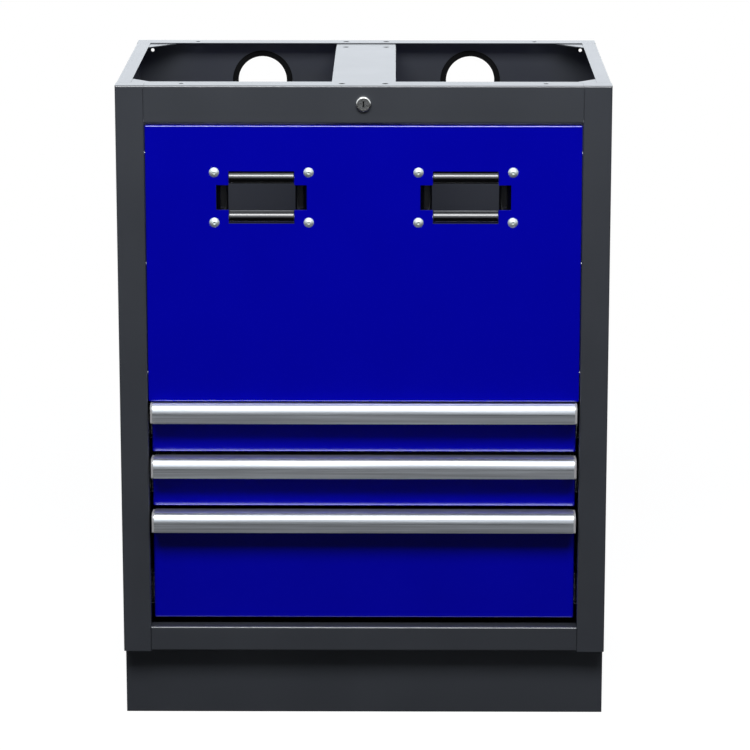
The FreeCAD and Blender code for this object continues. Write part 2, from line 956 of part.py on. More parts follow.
def domed_screw(x, z):
    """Guide screw: a domed head with a hexagon socket, and its shank through panel and frame."""
    ball_radius = (guide_head_radius ** 2 + guide_head_height ** 2) / (2 * guide_head_height)
    centre = vec(x, panel_plane - guide_head_height + ball_radius, z)
    ball = Part.makeSphere(ball_radius, centre)
    dome = ball.common(box(
        x - ball_radius, x + ball_radius, panel_plane - 2 * guide_head_height, panel_plane,
        z - ball_radius, z + ball_radius,
    ))
    shank = round_y(x, panel_plane, guide_back + guide_nut_height + sheet, z, guide_screw_radius)
    socket_floor = panel_plane - guide_head_height / 3
    socket = hexagon_y(x, panel_plane - 2 * guide_head_height, socket_floor, z, guide_socket_width)
    return join([dome, shank]).cut(socket)


def guide_screws():
    pieces = []
    nut_back = guide_back + guide_nut_height
    for x, z in guide_screw_spots:
        nut = hexagon_y(x, guide_back, nut_back, z, guide_nut_width)
        bore = round_y(x, panel_plane, nut_back + sheet, z, guide_screw_radius + running_fit)
        pieces.append(domed_screw(x, z))
        pieces.append(nut.cut(bore))
    return pieces


def grommet(x):
    """Rubber edging of a supply port: a ring with a groove for the edge of the rear sheet."""
    groove = port_radius + grommet_wall
    lip = port_radius + grommet_lip_width
    ease = grommet_lip / 3
    profile = [
        (port_radius + ease, rear_wall - grommet_lip),
        (lip - ease, rear_wall - grommet_lip),
        (lip, rear_wall - grommet_lip + ease),
        (lip, rear_wall),
        (groove, rear_wall),
        (groove, rear),
        (lip, rear),
        (lip, rear + grommet_lip - ease),
        (lip - ease, rear + grommet_lip),
        (port_radius + ease, rear + grommet_lip),
        (port_radius, rear + grommet_lip - ease),
        (port_radius, rear_wall - grommet_lip + ease),
    ]
    level = top - port_drop
    corners = [vec(x + radius, y, level) for radius, y in profile]
    section = Part.Face(Part.makePolygon(corners + corners[:1]))
    return section.revolve(vec(x, 0, level), vec(0, 1, 0), 360)


def lock_body():
    """Lock case: a bezel in front of the rail and a barrel through it."""
    bezel = round_y(0, front - lock_reach, front, lock_level, lock_bezel_radius)
    rim = [
        edge for edge in bezel.Edges
        if len(edge.Vertexes) == 1 and edge.Vertexes[0].Y < front - lock_reach / 2
    ]
    bezel = bezel.makeFillet(lock_reach / 3, rim)
    barrel = round_y(0, front, front + lock_barrel_length, lock_level, lock_barrel_radius)
    bore = round_y(0, front - 2 * lock_reach, front + 2 * lock_barrel_length, lock_level,
                   lock_plug_radius + running_fit)
    return join([bezel, barrel]).cut(bore)


def lock_nut():
    nut = hexagon_y(0, front + sheet, front + sheet + lock_nut_height, lock_level, lock_nut_width)
    bore_radius = lock_barrel_radius + running_fit
    return nut.cut(round_y(0, front, front + lock_barrel_length, lock_level, bore_radius))


def lock_plug():
    """The part of the lock that turns with the key, with its keyway."""
    plug_front = front - lock_reach + lock_plug_recess
    plug = round_y(0, plug_front, front + lock_barrel_length + sheet, lock_level, lock_plug_radius)
    keyway = box(
        -keyway_width / 2,
        keyway_width / 2,
        plug_front - sheet,
        plug_front + keyway_depth,
        lock_level - keyway_height / 2,
        lock_level + keyway_height / 2,
    )
    return plug.cut(keyway)


def lock_rod():
    return round_y(0, front + lock_barrel_length + sheet, crank_front, lock_level, rod_radius)


def lock_crank():
    """Crank on the rod's rear end. Its pin lifts the lock bar."""
    pin_x = -crank_offset
    pin_z = lock_level - crank_offset
    hub = round_y(0, crank_front, crank_rear, lock_level, rod_radius + crank_sheet)
    boss = round_y(pin_x, crank_front, crank_rear, pin_z, crank_pin_radius + crank_sheet)
    across = crank_sheet + crank_pin_radius
    arm = box(0, crank_radius, crank_front, crank_rear, -across, across)
    arm.rotate(vec(0, 0, 0), vec(0, 1, 0), 135)
    arm.translate(vec(0, 0, lock_level))
    pin = round_y(pin_x, crank_rear, bar_rear + bar_running_gap, pin_z, crank_pin_radius)
    return join([hub, boss, arm, pin])


def lock_rod_bracket():
    """Bearing of the lock rod, hung from the bridge plate."""
    half = rod_bracket_width / 2
    hanger_bottom = lock_level - rod_radius - 2 * catch_sheet
    bracket = sheet_x(
        [
            (bracket_front + rod_bracket_flange, under_top - sheet),
            (bracket_front, under_top - sheet),
            (bracket_front, hanger_bottom),
        ],
        -half,
        half,
        catch_sheet,
    )
    hanger_rear = bracket_front + catch_sheet
    hanger_top = under_top - sheet - 2 * catch_sheet
    side = box(rod_bracket_hanger / 2, half, bracket_front, hanger_rear, hanger_bottom, hanger_top)
    cuts = both_sides(side)
    bore_radius = rod_radius + running_fit
    cuts.append(round_y(0, bracket_front - sheet, hanger_rear + sheet, lock_level, bore_radius))
    cuts.extend(bridge_screw_holes())
    return bracket.cut(cuts)


def finger_top(face_bottom):
    """Upper face of the lock bar's finger for a drawer, with the bar down."""
    return face_bottom + catch_level - tongue_length - bar_lift - catch_clearance


def lock_bar():
    """Vertical bar with a slotted head for the crank pin, and a finger and tooth for each drawer."""
    half = bar_width / 2
    pin_z = lock_level - crank_offset
    bar_bottom = finger_top(large_face_bottom) - 2 * finger_height
    bar = box(-half, half, bar_front, bar_rear, bar_bottom, pin_z)
    head = box(
        -bar_head_half_width,
        bar_head_half_width,
        bar_front,
        bar_rear,
        pin_z - bar_head_half_height,
        pin_z + bar_head_half_height,
    )
    slot_half = crank_pin_radius + crank_pin_fit
    slot = box(
        -crank_radius, -crank_offset, bar_front - sheet, bar_rear + sheet,
        pin_z - slot_half, pin_z + slot_half
    )
    slot_ends = [
        round_y(x, bar_front - sheet, bar_rear + sheet, pin_z, slot_half)
        for x in (-crank_radius, -crank_offset)
    ]
    pieces = [join([bar, head]).cut([slot] + slot_ends)]
    for _, face_bottom, _ in drawers:
        high = finger_top(face_bottom)
        tooth_top = face_bottom + catch_level - tongue_length - tooth_clearance
        pieces.append(box(
            -finger_half_width, finger_half_width, tooth_rear, bar_front, high - finger_height, high
        ))
        pieces.append(box(-half, half, tooth_front, tooth_rear, high - finger_height, tooth_top))
    return pieces


def bar_guide(level):
    """Strap on the rear wall that the lock bar slides through."""
    inner = bar_width / 2 + bar_running_gap
    wing = inner + bar_guide_wing
    strap_front = bar_front - bar_running_gap
    return sheet_z(
        [
            (wing, rear_wall),
            (inner, rear_wall),
            (inner, strap_front),
            (-inner, strap_front),
            (-inner, rear_wall),
            (-wing, rear_wall),
        ],
        level,
        level + bar_guide_height,
        bar_guide_sheet,
    )


def lock_bar_guides():
    levels = [
        large_face_bottom + large_face_height / 2,
        shelf_under + 2 * shelf_lip,
        top - 2 * port_drop,
    ]
    return [bar_guide(level) for level in levels]


def slide_levels():
    return [face_bottom + slide_level for _, face_bottom, _ in drawers]


def slide_uprights():
    """Channels on the side walls that carry the slides, two on each side."""
    uprights = []
    for y0 in (upright_front, upright_rear - upright_width):
        y1 = y0 + upright_width
        upright = sheet_z(
            [
                (wall, y1),
                (slide_face, y1),
                (slide_face, y0),
                (wall, y0),
            ],
            floor_top,
            shelf_under,
            upright_sheet,
        )
        middle = (y0 + y1) / 2
        holes = [
            round_x(slide_face - sheet, slide_face + 2 * upright_sheet, middle, z, stud_radius + hole_fit)
            for z in slide_levels()
        ]
        uprights.extend(both_sides(upright.cut(holes)))
    return uprights


def slide_studs():
    """Studs on the slides' outer members, with nuts inside the uprights."""
    pieces = []
    nut_start = slide_face + upright_sheet
    for y in (upright_front + upright_width / 2, upright_rear - upright_width / 2):
        for z in slide_levels():
            stud = round_x(slide_face, slide_face + stud_length, y, z, stud_radius)
            nut = hexagon_x(nut_start, nut_start + stud_nut_height, y, z, stud_nut_width)
            bore = round_x(slide_face, slide_face + 2 * stud_length, y, z, stud_radius + running_fit)
            pieces.extend(both_sides(stud))
            pieces.extend(both_sides(nut.cut(bore)))
    return pieces


# Cross-section of the slides, counted from the cabinet's side towards the drawer
outer_half = slide_height / 2
mid_half = outer_half - slide_sheet - slide_ball_gap
inner_half = mid_half - slide_sheet - slide_ball_gap
mid_start = slide_sheet + slide_web_gap
mid_end = slide_thickness - slide_end_gap
outer_end = slide_thickness - 2 * slide_end_gap
inner_start = mid_start + slide_sheet + slide_end_gap


def slide_channel(start, end, half, level, web_at_start):
    """A channel of a slide, with its web towards the cabinet's side or towards the drawer."""
    cabinet_x = slide_face - start
    drawer_x = slide_face - end
    if web_at_start:
        points = [
            (drawer_x, level - half),
            (cabinet_x, level - half),
            (cabinet_x, level + half),
            (drawer_x, level + half),
        ]
    else:
        points = [
            (cabinet_x, level + half),
            (drawer_x, level + half),
            (drawer_x, level - half),
            (cabinet_x, level - half),
        ]
    return sheet_y(points, slide_front, slide_rear, slide_sheet)


def slide_outer(level):
    return slide_channel(0, outer_end, outer_half, level, True)


def slide_inner(level):
    return slide_channel(inner_start, slide_thickness, inner_half, level, False)


def slide_cage(y0, length, low, high):
    """A strip of ball cage between two members."""
    middle = slide_face - (mid_start + mid_end) / 2
    return box(middle - cage_width / 2, middle + cage_width / 2, y0, y0 + length, low, high)


def slide_mid(level):
    """Middle member with the ball cages that run on the outer and inner members."""
    cage_length = slide_length * cage_share_of_slide
    pieces = [slide_channel(mid_start, mid_end, mid_half, level, True)]
    outer_gap = (mid_half, mid_half + slide_ball_gap - slide_running_gap)
    inner_gap = (inner_half + slide_running_gap, mid_half - slide_sheet)
    for y0, (low, high) in ((slide_rear - cage_length, outer_gap), (slide_front, inner_gap)):
        pieces.append(slide_cage(y0, cage_length, level + low, level + high))
        pieces.append(slide_cage(y0, cage_length, level - high, level - low))
    return pieces


drawer_screw_x = [
    drawer_screw_inset - tray_half,
    (drawer_screw_inset - tray_half) / 3,
    (tray_half - drawer_screw_inset) / 3,
    tray_half - drawer_screw_inset,
]


def tray_top(face_bottom, face_height):
    return face_bottom + face_height - tray_head


def screw_level(face_bottom, face_height):
    return tray_top(face_bottom, face_height) - tray_sheet - pan_head_radius - drawer_screw_drop / 2


def drawer_front(face_bottom, face_height):
    front_pan = pan(face_half, face_plane, face_return, face_bottom, face_bottom + face_height)
    level = screw_level(face_bottom, face_height)
    return front_pan.cut([
        round_y(x, face_plane - sheet, tray_front + sheet, level, drawer_screw_radius + hole_fit)
        for x in drawer_screw_x
    ])


def drawer_tray(face_bottom, face_height):
    """Open tray: a bottom, two ends, two sides with rims and divider slots, and the lock catch."""
    low = face_bottom + tray_foot
    high = tray_top(face_bottom, face_height)
    floor = low + tray_sheet
    bottom = box(-tray_half, tray_half, tray_front, tray_rear, low, floor)
    front_end = box(-tray_half, tray_half, tray_front, tray_front + tray_sheet, floor, high)
    rear_end = box(-tray_half, tray_half, tray_rear - tray_sheet, tray_rear, floor, high)
    side = sheet_y(
        [
            (tray_half, floor),
            (tray_half, high),
            (tray_half - tray_sheet - tray_rim, high),
        ],
        tray_front + tray_sheet,
        tray_rear - tray_sheet,
        tray_sheet,
    )
    level = screw_level(face_bottom, face_height)
    holes = [
        round_y(x, tray_front - sheet, tray_front + 2 * tray_sheet, level, drawer_screw_radius + hole_fit)
        for x in drawer_screw_x
    ]
    slide_top = face_bottom + slide_level + inner_half
    slot_low = slide_top + divider_slot_margin / 3
    slot_high = high - divider_slot_margin / 3
    slot_count = int((tray_rear - tray_front - 2 * divider_slot_margin) / divider_slot_pitch)
    slots = []
    for k in range(slot_count):
        y0 = tray_front + divider_slot_margin + k * divider_slot_pitch
        slots.append(box(0, half_width, y0, y0 + divider_slot_width, slot_low, slot_high))
    under_tab = face_bottom + catch_level
    catch = sheet_x(
        [
            (tray_rear, under_tab + catch_flange),
            (tray_rear, under_tab),
            (tongue_front, under_tab),
            (tongue_front, under_tab - tongue_length),
        ],
        -bar_width / 2,
        bar_width / 2,
        catch_sheet,
    )
    return [bottom, front_end.cut(holes), rear_end, catch] + both_sides(side.cut(slots))


handle_nose = face_plane - handle_reach
handle_slope = math.radians(handle_top_angle)


def nose_points(high, inset):
    """Start, middle and end points of the two arcs from a handle's sloping top to its wall."""
    brow = math.radians(handle_brow_angle)
    brow_y = handle_nose + handle_brow_radius
    nose_y = brow_y - (handle_brow_radius - handle_nose_radius) * math.cos(brow)
    nose_z = high - handle_nose_radius
    brow_z = nose_z - (handle_brow_radius - handle_nose_radius) * math.sin(brow)

    def spot(y, z, radius, angle):
        return y - (radius - inset) * math.cos(angle), z + (radius - inset) * math.sin(angle)

    return [
        spot(nose_y, nose_z, handle_nose_radius, math.pi / 2 + handle_slope),
        spot(nose_y, nose_z, handle_nose_radius, (math.pi / 2 + brow) / 2),
        spot(nose_y, nose_z, handle_nose_radius, brow),
        spot(brow_y, brow_z, handle_brow_radius, brow / 2),
        (handle_nose + inset, brow_z),
    ]


def handle_top(y, high, inset):
    """Level at depth y of a handle's sloping top, or of its underside when inset by the wall."""
    start_y, start_z = nose_points(high, inset)[0]
    return start_z - (y - start_y) * math.tan(handle_slope)


def outline_x(x0, x1, steps):
    """A solid along X. Each step is a (y, z) corner, or an arc's middle and its end."""
    spots = [[vec(x0, y, z) for y, z in step] for step in steps]
    last = spots[-1][-1]
    edges = []
    for step in spots:
        if len(step) == 1:
            edges.append(Part.LineSegment(last, step[0]).toShape())
        else:
            edges.append(Part.Arc(last, step[0], step[1]).toShape())
        last = step[-1]
    return Part.Face(Part.Wire(edges)).extrude(vec(x1 - x0, 0, 0))


def drawer_handle(face_bottom, face_height):
    """Aluminium extrusion along the top of a drawer face, with a hooked nose for the fingers."""
    face_top = face_bottom + face_height
    high = face_top + handle_rise
    low = high - handle_drop
    level = screw_level(face_bottom, face_height)
    leg_bottom = level - drawer_screw_drop
    leg_front = face_plane - handle_wall
    foot_rear = face_plane + face_return
    step_z = high - handle_step_drop
    wall_front = handle_nose + handle_step
    lip = (handle_wall - handle_step) / 2
    outside = nose_points(high, 0)
    inside = nose_points(high, handle_wall)
    half = face_half - end_cap_width
    handle = outline_x(-half, half, [
        [(foot_rear, handle_top(foot_rear, high, 0))],
        outside[:1],
        outside[1:3],
        outside[3:],
        [(handle_nose, step_z)],
        [(wall_front, step_z - handle_step / 2)],
        [(wall_front, low + lip)],
        [(wall_front + lip, low), (handle_nose + handle_wall, low + lip)],
        inside[4:],
        [inside[3], inside[2]],
        [inside[1], inside[0]],
        [(leg_front, handle_top(leg_front, high, handle_wall))],
        [(leg_front, leg_bottom)],
        [(face_plane, leg_bottom)],
        [(face_plane, face_top)],
        [(foot_rear, face_top)],
    ])
    cuts = [
        round_y(x, face_plane - drawer_screw_bite - running_fit, face_plane + sheet, level,
                drawer_screw_radius + hole_fit)
        for x in drawer_screw_x
    ]
    return handle.cut(cuts)


def handle_end_caps(face_bottom, face_height):
    """Caps that close the two ends of a handle in front of the face."""
    high = face_bottom + face_height + handle_rise
    low = high - handle_drop
    outside = nose_points(high, 0)
    diagonal = handle_wall * math.sqrt(0.5)
    lip_middle = (handle_nose + handle_wall - diagonal, low + handle_wall - diagonal)
    cap = outline_x(face_half - end_cap_width, face_half, [
        [(face_plane, handle_top(face_plane, high, 0))],
        outside[:1],
        outside[1:3],
        outside[3:],
        [(handle_nose, low + handle_wall)],
        [lip_middle, (handle_nose + handle_wall, low)],
        [(face_plane, low)],
    ])
    return both_sides(cap)


def drawer_screws(face_bottom, face_height):
    """Screws that hold tray, face and handle together, from inside the tray."""
    level = screw_level(face_bottom, face_height)
    head_front = tray_front + tray_sheet
    pieces = []
    for x in drawer_screw_x:
        head = round_y(x, head_front, head_front + pan_head_height, level, pan_head_radius)
        shank = round_y(x, face_plane - drawer_screw_bite, head_front, level, drawer_screw_radius)
        pieces.append(join([head, shank]))
    return pieces


right_side = side_panel().cut(post_screw_holes())
save("side_panel_right", [right_side])
save("side_panel_left", [mirrored(right_side)])
save("rear_panel", [rear_panel()])
save("top_front_rail", [top_front_rail()])
save("bottom_front_rail", [bottom_front_rail()])
save("base_panel", [base_panel()])
save("corner_gussets", corner_gussets())
save("bridge_plate", [bridge_plate()])
save("bridge_screws", bridge_screws())
save("plinth_rails", plinth_rails())
save("plinth_sides", both_sides(plinth_side()))
save("plinth_bolts", plinth_bolts())
save("reel_shelf", [reel_shelf()])
save("reel_front_panel", [reel_front_panel()])
save("panel_screws", panel_screws())
save("guide_screws", guide_screws())
save("guide_axles", [axle for _, guide_x in guide_spots for axle in guide_axles(guide_x)])
for side, guide_x in guide_spots:
    save(f"{side}_guide_frame", [guide_frame(guide_x)])
    for place, piece in guide_rollers(guide_x).items():
        save(f"{side}_guide_{place}_roller", [piece])
save("rear_grommets", both_sides(grommet(port_x)))
save("lock_body", [lock_body()])
save("lock_nut", [lock_nut()])
save("lock_plug", [lock_plug()])
save("lock_rod", [lock_rod()])
save("lock_crank", [lock_crank()])
save("lock_rod_bracket", [lock_rod_bracket()])
save("lock_bar", lock_bar())
save("lock_bar_guides", lock_bar_guides())
save("slide_uprights", slide_uprights())
save("slide_studs", slide_studs())
save("slide_outer_members", [piece for z in slide_levels() for piece in both_sides(slide_outer(z))])
for number, face_bottom, face_height in drawers:
    slide_z = face_bottom + slide_level
    mid_pieces = slide_mid(slide_z)
    save(f"slide_{number}_middle", mid_pieces + [mirrored(piece) for piece in mid_pieces])
    save(f"slide_{number}_inner", both_sides(slide_inner(slide_z)))
    save(f"drawer_{number}_front", [drawer_front(face_bottom, face_height)])
    save(f"drawer_{number}_tray", drawer_tray(face_bottom, face_height))
    save(f"drawer_{number}_handle", [drawer_handle(face_bottom, face_height)])
    save(f"drawer_{number}_end_caps", handle_end_caps(face_bottom, face_height))
    save(f"drawer_{number}_screws", drawer_screws(face_bottom, face_height))
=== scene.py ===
import json
import math

import bmesh
import bpy
from mathutils import Euler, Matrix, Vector


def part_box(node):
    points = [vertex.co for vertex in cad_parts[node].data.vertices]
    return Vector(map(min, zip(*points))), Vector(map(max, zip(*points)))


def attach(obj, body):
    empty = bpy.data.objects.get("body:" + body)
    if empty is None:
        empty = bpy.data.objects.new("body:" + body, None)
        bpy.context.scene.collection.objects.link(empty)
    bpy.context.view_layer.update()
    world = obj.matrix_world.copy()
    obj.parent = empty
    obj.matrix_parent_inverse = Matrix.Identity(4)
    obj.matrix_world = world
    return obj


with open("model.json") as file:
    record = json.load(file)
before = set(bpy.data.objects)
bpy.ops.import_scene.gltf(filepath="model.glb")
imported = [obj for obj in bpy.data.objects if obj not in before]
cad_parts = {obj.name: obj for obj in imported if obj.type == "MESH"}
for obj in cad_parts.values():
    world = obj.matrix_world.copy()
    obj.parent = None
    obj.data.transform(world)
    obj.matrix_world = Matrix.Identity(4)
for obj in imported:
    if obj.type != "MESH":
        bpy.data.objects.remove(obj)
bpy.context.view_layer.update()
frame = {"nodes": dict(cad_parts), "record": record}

SMOOTH_ANGLE = math.radians(32)

scene = bpy.context.scene
slot_of = {part["node"]: part["material_slot"] for part in frame["record"]["subparts"]}


# Node helpers

class Graph:
    """A material's or world's nodes, added one at a time and linked by name."""

    def __init__(self, owner):
        owner.use_nodes = True
        self.tree = owner.node_tree
        self.tree.nodes.clear()

    def add(self, kind, settings=None, **inputs):
        node = self.tree.nodes.new(kind)
        for name, value in (settings or {}).items():
            setattr(node, name, value)
        for name, value in inputs.items():
            self.set(node, name.replace("_", " "), value)
        return node

    def set(self, node, socket, value):
        """Gives a socket a value, or links it to another node's output."""
        target = node.inputs[socket]
        if isinstance(value, bpy.types.NodeSocket):
            self.tree.links.new(value, target)
        else:
            target.default_value = value

    def math(self, operation, a, b):
        node = self.add("ShaderNodeMath", {"operation": operation})
        self.set(node, 0, a)
        self.set(node, 1, b)
        return node.outputs[0]

    def remap(self, value, given, wanted):
        """Maps one range of values to another, and holds it at both ends."""
        node = self.add("ShaderNodeMapRange", {"clamp": True})
        for socket, number in enumerate((value, *given, *wanted)):
            self.set(node, socket, number)
        return node.outputs[0]

    def share(self, factor, a, b):
        """A number that goes from a to b with the factor."""
        node = self.add("ShaderNodeMix", {"data_type": "FLOAT"})
        self.set(node, 0, factor)
        self.set(node, 2, a)
        self.set(node, 3, b)
        return node.outputs[0]

    def mix(self, factor, a, b):
        """A colour that goes from a to b with the factor."""
        node = self.add("ShaderNodeMix", {"data_type": "RGBA"})
        self.set(node, 0, factor)
        self.set(node, 6, opaque(a))
        self.set(node, 7, opaque(b))
        return node.outputs[2]

    def noise(self, coordinate, scale, detail, roughness=0.5):
        node = self.add("ShaderNodeTexNoise", Vector=coordinate, Scale=scale, Detail=detail)
        self.set(node, "Roughness", roughness)
        return node.outputs["Fac"]

    def place(self, stretch=(1, 1, 1)):
        """Object coordinates, squeezed or stretched along each axis."""
        coordinates = self.add("ShaderNodeTexCoord").outputs["Object"]
        mapping = self.add("ShaderNodeMapping", Vector=coordinates, Scale=stretch)
        return mapping.outputs["Vector"]

    def bump(self, height, distance):
        return self.add("ShaderNodeBump", Height=height, Distance=distance).outputs["Normal"]


def opaque(colour):
    return (*colour, 1.0)


def grey(value):
    return (value, value, value)


def scaled(colour, factor, lift=0.0):
    return [channel * factor + lift for channel in colour]


# Finishes

# Noise scales are in waves per metre, and peels and depths are bump heights in metres
BLOTCH_SCALE = 9.0
BLOTCH_DARK = 0.94
BLOTCH_LIGHT = 1.07
PEEL_SCALE = 620.0
PAINT_SPREAD = 0.08

SPECK_SCALE = 900.0
SPECK_DEPTH = 0.00006
CLOUD_SCALE = 30.0
CLOUD_LIGHT = 1.5
CLOUD_LIFT = 0.002

NOISE_RANGE = (0.3, 0.7)
NARROW_NOISE_RANGE = (0.35, 0.65)

# How far an edge has turned up or down, as the height of its normal
TURNED_UP = (0.85, 0.98)
TURNED_DOWN = (-0.1, -0.3)

materials = {}


def surface(name, base, roughness, metallic=0.0, specular=0.5):
    """A new material, kept under its name. Returns its graph and its Principled shader."""
    material = bpy.data.materials.new(name)
    materials[name] = material
    graph = Graph(material)
    shader = graph.add("ShaderNodeBsdfPrincipled")
    output = graph.add("ShaderNodeOutputMaterial")
    graph.tree.links.new(shader.outputs[0], output.inputs["Surface"])
    shader.inputs["Base Color"].default_value = opaque(base)
    shader.inputs["Roughness"].default_value = roughness
    shader.inputs["Metallic"].default_value = metallic
    shader.inputs["Specular IOR Level"].default_value = specular
    return graph, shader


def paint(
    name, base, roughness, peel,
    specular=0.5, coat=0.0, coat_roughness=0.18, dull_tops=0.0, glossy_lips=0.0
):
    """Powder coat: fine orange peel, faint blotches and slightly uneven gloss.

    Edges that face up are duller by dull_tops, and edges that face down are glossier by glossy_lips."""
    graph, shader = surface(name, base, roughness, specular=specular)
    place = graph.place()
    blotch = graph.noise(place, BLOTCH_SCALE, detail=4.0)
    grain = graph.noise(place, PEEL_SCALE, detail=2.0)
    colour = graph.mix(blotch, scaled(base, BLOTCH_DARK), scaled(base, BLOTCH_LIGHT))
    ends = (roughness * (1 - PAINT_SPREAD), roughness * (1 + PAINT_SPREAD))
    gloss = graph.remap(blotch, NOISE_RANGE, ends)
    if dull_tops or glossy_lips:
        facing = graph.add("ShaderNodeNewGeometry").outputs["Normal"]
        upward = graph.add("ShaderNodeSeparateXYZ", Vector=facing).outputs["Z"]
        gloss = graph.math("ADD", gloss, graph.remap(upward, TURNED_UP, (0.0, dull_tops)))
        gloss = graph.math("SUBTRACT", gloss, graph.remap(upward, TURNED_DOWN, (0.0, glossy_lips)))
    graph.set(shader, "Base Color", colour)
    graph.set(shader, "Roughness", gloss)
    graph.set(shader, "Normal", graph.bump(grain, peel))
    shader.inputs["Coat Weight"].default_value = coat
    shader.inputs["Coat Roughness"].default_value = coat_roughness


def metal(
    name, base, roughness, grain_scale, grain_depth,
    metallic=1.0, stretch=(1, 1, 1), spread=0.25, shade=0.93, shade_scale=14.0
):
    """Bare or plated metal, whose grain and slow shading can both run along one axis."""
    graph, shader = surface(name, base, roughness, metallic)
    place = graph.place(stretch)
    grain = graph.noise(place, grain_scale, detail=4.0, roughness=0.6)
    cloud = graph.remap(graph.noise(place, shade_scale, detail=3.0), NARROW_NOISE_RANGE, (0.0, 1.0))
    ends = (roughness * (1 - spread), roughness * (1 + spread))
    graph.set(shader, "Base Color", graph.mix(cloud, scaled(base, shade), base))
    graph.set(shader, "Roughness", graph.remap(grain, NOISE_RANGE, ends))
    graph.set(shader, "Normal", graph.bump(grain, grain_depth))


def matt_plastic(name, base, roughness, specular=0.5):
    """Rubber or soft plastic with fine specks and faint clouds."""
    graph, shader = surface(name, base, roughness, specular=specular)
    place = graph.place()
    speck = graph.noise(place, SPECK_SCALE, detail=2.0)
    cloud = graph.noise(place, CLOUD_SCALE, detail=3.0)
    graph.set(shader, "Base Color", graph.mix(cloud, base, scaled(base, CLOUD_LIGHT, CLOUD_LIFT)))
    graph.set(shader, "Normal", graph.bump(speck, SPECK_DEPTH))


paint(
    "anthracite_paint", base=(0.041, 0.045, 0.054), roughness=0.31, peel=6e-6,
    coat=1.0, coat_roughness=0.14
)
paint(
    "blue_paint", base=(0.0002, 0.0001, 0.43), roughness=0.11, peel=2e-6,
    specular=1.0, dull_tops=0.6, glossy_lips=0.08
)
paint("black_paint", base=(0.012, 0.012, 0.014), roughness=0.4, peel=1e-5)
metal(
    "anodised_aluminium", base=(0.82, 0.845, 0.885), roughness=0.32, grain_scale=1500.0, grain_depth=1.2e-6,
    metallic=0.9, stretch=(0.01, 1, 1), spread=0.1, shade=0.66, shade_scale=330.0
)
metal(
    "chrome", base=(0.66, 0.72, 0.69), roughness=0.42, grain_scale=700.0, grain_depth=1e-6,
    metallic=0.6
)
metal(
    "satin_nickel", base=(0.44, 0.44, 0.43), roughness=0.30, grain_scale=900.0, grain_depth=1.2e-5,
    shade=0.5, shade_scale=700.0
)
metal(
    "polished_nickel", base=(0.66, 0.65, 0.62), roughness=0.24, grain_scale=900.0, grain_depth=4e-6
)
paint("black_plastic", base=(0.0015, 0.0015, 0.002), roughness=0.22, peel=1e-6, specular=1.0)
metal(
    "zinc_plated_steel", base=(0.56, 0.57, 0.58), roughness=0.36, grain_scale=320.0, grain_depth=1e-5
)
metal(
    "bright_steel", base=(0.64, 0.65, 0.67), roughness=0.26, grain_scale=500.0, grain_depth=6e-6,
    stretch=(1, 0.03, 1)
)
matt_plastic("black_rubber", base=(0.0012, 0.0012, 0.0014), roughness=0.5, specular=0.1)
paint("blackened_steel", base=(0.008, 0.008, 0.009), roughness=0.6, peel=4e-6, specular=0.1)
matt_plastic("light_grey_plastic", base=(0.30, 0.30, 0.31), roughness=0.45)

# The lock's bezel is brighter than its plug, which has the slot's own finish
special_finish = {"lock_body": "polished_nickel"}

for name, part in frame["nodes"].items():
    mesh = part.data
    mesh.materials.clear()
    mesh.materials.append(materials[special_finish.get(name, slot_of[name])])
    mesh.shade_smooth()
    mesh.set_sharp_from_angle(angle=SMOOTH_ANGLE)


# Lock: a dark lining of painted shade inside the keyway, with a row of wafers that are also darkened as
# painted shade

KEYWAY_HALF_WIDTH = 0.0012
KEYWAY_HALF_HEIGHT = 0.0042
KEYWAY_DEPTH = 0.0060
PAINTED_SHADE_LINING = 0.00025
PAINTED_SHADE_CLEARANCE = 0.00002
WAFER_THICKNESS = 0.0005
WAFER_HEIGHTS = (0.0032, 0.0046, 0.0038, 0.0050, 0.0036)


def add_block(mesh, low, high):
    """Adds a block between two corners to a bmesh."""
    size = [b - a for a, b in zip(low, high)]
    middle = [(a + b) / 2 for a, b in zip(low, high)]
    made = bmesh.ops.create_cube(mesh, size=1.0)
    bmesh.ops.scale(mesh, vec=size, verts=made["verts"])
    bmesh.ops.translate(mesh, vec=middle, verts=made["verts"])


def mesh_object(name, mesh, slot, body):
    data = bpy.data.meshes.new(name)
    mesh.to_mesh(data)
    mesh.free()
    piece = bpy.data.objects.new(name, data)
    scene.collection.objects.link(piece)
    data.materials.append(materials[slot])
    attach(piece, body)


